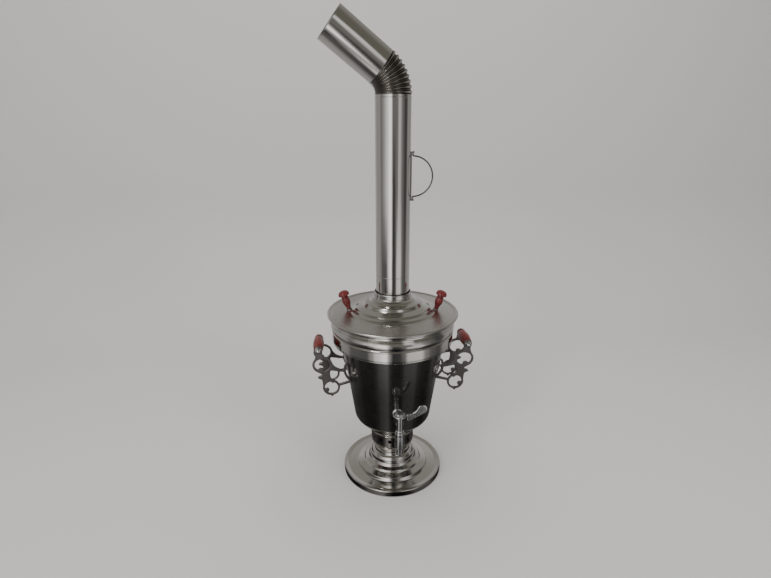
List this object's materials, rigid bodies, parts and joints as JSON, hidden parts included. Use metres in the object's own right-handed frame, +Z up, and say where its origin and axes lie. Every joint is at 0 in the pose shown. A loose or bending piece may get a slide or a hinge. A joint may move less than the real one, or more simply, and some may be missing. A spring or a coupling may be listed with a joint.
{
  "type": "charcoal samovar",
  "caption": "Charcoal samovar: black tank on a spun steel foot, stepped lid, stove pipe with crimped elbow, lever tap and two scrolled side handles.",
  "frame": {"origin": "middle of the foot, on the table", "axes": "+Z up along the tank and the stove pipe, -Y towards the tap, +X towards the right-hand handle seen from the tap"},
  "size_m": [0.3526, 0.2881, 0.9761],
  "materials": {
    "black_enamel": "high-gloss black enamel over steel",
    "polished_steel": "spun and polished stainless steel",
    "chrome": "bright chrome plate",
    "dark_casting": "dark plated casting, half gloss",
    "dark_steel": "dull steel strip and wire",
    "grate_iron": "rough cast",
    "red_wood": "turned wood, stained red and lacquered",
    "gasket": "matt"
  },
  "bodies": {
    "samovar": {"base_plate": "polished_steel", "air_ring": "polished_steel", "fire_grate": "grate_iron", "fire_tube": "polished_steel", "tank_floor": "black_enamel", "tank_shell": "black_enamel", "shoulder_band": "polished_steel", "tap_shank": "chrome", "tap_flange": "chrome", "tap_gasket": "gasket", "tap_lock_nut": "chrome", "tap_body": "chrome", "spout_sleeve": "chrome", "handle_plate_left": "polished_steel", "handle_plate_right": "polished_steel", "arm_front_left": "dark_casting", "arm_rear_left": "dark_casting", "arm_front_right": "dark_casting", "arm_rear_right": "dark_casting", "grip_left": "red_wood", "grip_right": "red_wood", "grip_rod_left": "polished_steel", "grip_rod_right": "polished_steel", "handle_rivets": "polished_steel"},
    "lid": {"lid": "polished_steel", "lid_collar": "polished_steel", "lid_inner_ring": "polished_steel", "lid_knob_left": "red_wood", "lid_knob_right": "red_wood", "knob_seat_left": "dark_steel", "knob_seat_right": "dark_steel", "knob_screws": "polished_steel"},
    "stove_pipe": {"chimney_pipe": "polished_steel", "bail_strap": "dark_steel"},
    "bail": {"bail_wire": "dark_steel"},
    "elbow": {"elbow_neck": "polished_steel", "elbow": "polished_steel", "upper_pipe": "polished_steel"},
    "tap_lever": {"tap_plug": "chrome", "tap_lever": "chrome", "tap_cap_nut": "chrome"}
  },
  "joints": [
    {"name": "lid_lift", "type": "slide", "parent": "samovar", "child": "lid", "axis": [0, 0, 1], "range_m": [0, 0.15]},
    {"name": "pipe_lift", "type": "slide", "parent": "samovar", "child": "stove_pipe", "axis": [0, 0, 1], "range_m": [0, 0.034]},
    {"name": "bail_swing", "type": "hinge", "parent": "stove_pipe", "child": "bail", "pos_m": [0.03881, -0.00387, 0.681], "axis": [0, 0, 1], "range_deg": [-90, 90]},
    {"name": "elbow_turn", "type": "hinge", "parent": "stove_pipe", "child": "elbow", "pos_m": [0, 0, 0.827], "axis": [0, 0, 1], "continuous": true},
    {"name": "tap_turn", "type": "hinge", "parent": "samovar", "child": "tap_lever", "pos_m": [0, -0.133, 0.201], "axis": [0, 0, 1], "range_deg": [-90, 0]}
  ]
}
